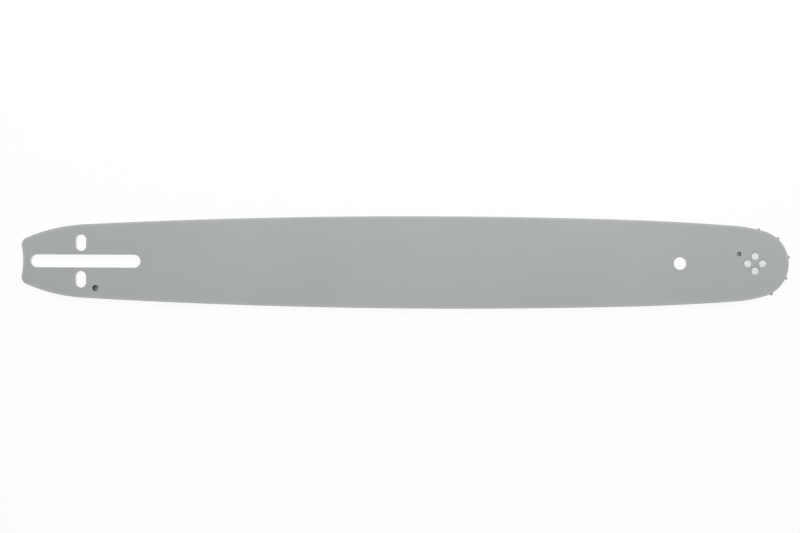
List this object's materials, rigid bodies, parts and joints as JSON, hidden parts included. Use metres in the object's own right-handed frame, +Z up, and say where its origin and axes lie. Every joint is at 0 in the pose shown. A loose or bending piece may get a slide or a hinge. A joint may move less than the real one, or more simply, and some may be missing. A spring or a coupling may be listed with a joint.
{
  "type": "chainsaw guide bar",
  "caption": "Flat laminated chainsaw guide bar with cambered rails, an open chain groove, a slotted tail and a riveted sprocket nose that turns on rollers.",
  "frame": {"origin": "middle of the bar stud slot, on the face that the bar lies on", "axes": "+X along the bar from tail to nose, +Y across it, +Z up through its thickness"},
  "size_m": [0.566, 0.068, 0.0047],
  "materials": {
    "side_plate_paint": "satin pale grey paint",
    "core_steel": "rolled, oiled",
    "sprocket_steel": "stamped and hardened",
    "bearing_steel": "ground",
    "rivet_steel": "ground flush"
  },
  "bodies": {
    "bar": {"upper_side_plate": "side_plate_paint", "lower_side_plate": "side_plate_paint", "core_plate": "core_steel", "bearing_race": "bearing_steel", "nose_rivets": "rivet_steel"},
    "sprocket": {"nose_sprocket": "sprocket_steel"},
    "roller_ring": {"bearing_roller_01": "bearing_steel", "bearing_roller_02": "bearing_steel", "bearing_roller_03": "bearing_steel", "bearing_roller_04": "bearing_steel", "bearing_roller_05": "bearing_steel", "bearing_roller_06": "bearing_steel", "bearing_roller_07": "bearing_steel", "bearing_roller_08": "bearing_steel", "bearing_roller_09": "bearing_steel", "bearing_roller_10": "bearing_steel", "bearing_roller_11": "bearing_steel", "bearing_roller_12": "bearing_steel", "bearing_roller_13": "bearing_steel", "bearing_roller_14": "bearing_steel", "bearing_roller_15": "bearing_steel", "bearing_roller_16": "bearing_steel", "bearing_roller_17": "bearing_steel", "bearing_roller_18": "bearing_steel", "bearing_roller_19": "bearing_steel", "bearing_roller_20": "bearing_steel", "bearing_roller_21": "bearing_steel", "bearing_roller_22": "bearing_steel", "bearing_roller_23": "bearing_steel", "bearing_roller_24": "bearing_steel", "bearing_roller_25": "bearing_steel", "bearing_roller_26": "bearing_steel", "bearing_roller_27": "bearing_steel", "bearing_roller_28": "bearing_steel", "bearing_roller_29": "bearing_steel"}
  },
  "joints": [
    {"name": "sprocket_spin", "type": "hinge", "parent": "bar", "child": "sprocket", "pos_m": [0.493, 0, 0.00235], "axis": [0, 0, 1], "continuous": true},
    {"name": "roller_orbit", "type": "hinge", "parent": "bar", "child": "roller_ring", "pos_m": [0.493, 0, 0.00235], "axis": [0, 0, 1], "continuous": true}
  ],
  "couplings": [
    {"joint": "roller_orbit", "follows": "sprocket_spin", "ratio": 0.55406}
  ]
}
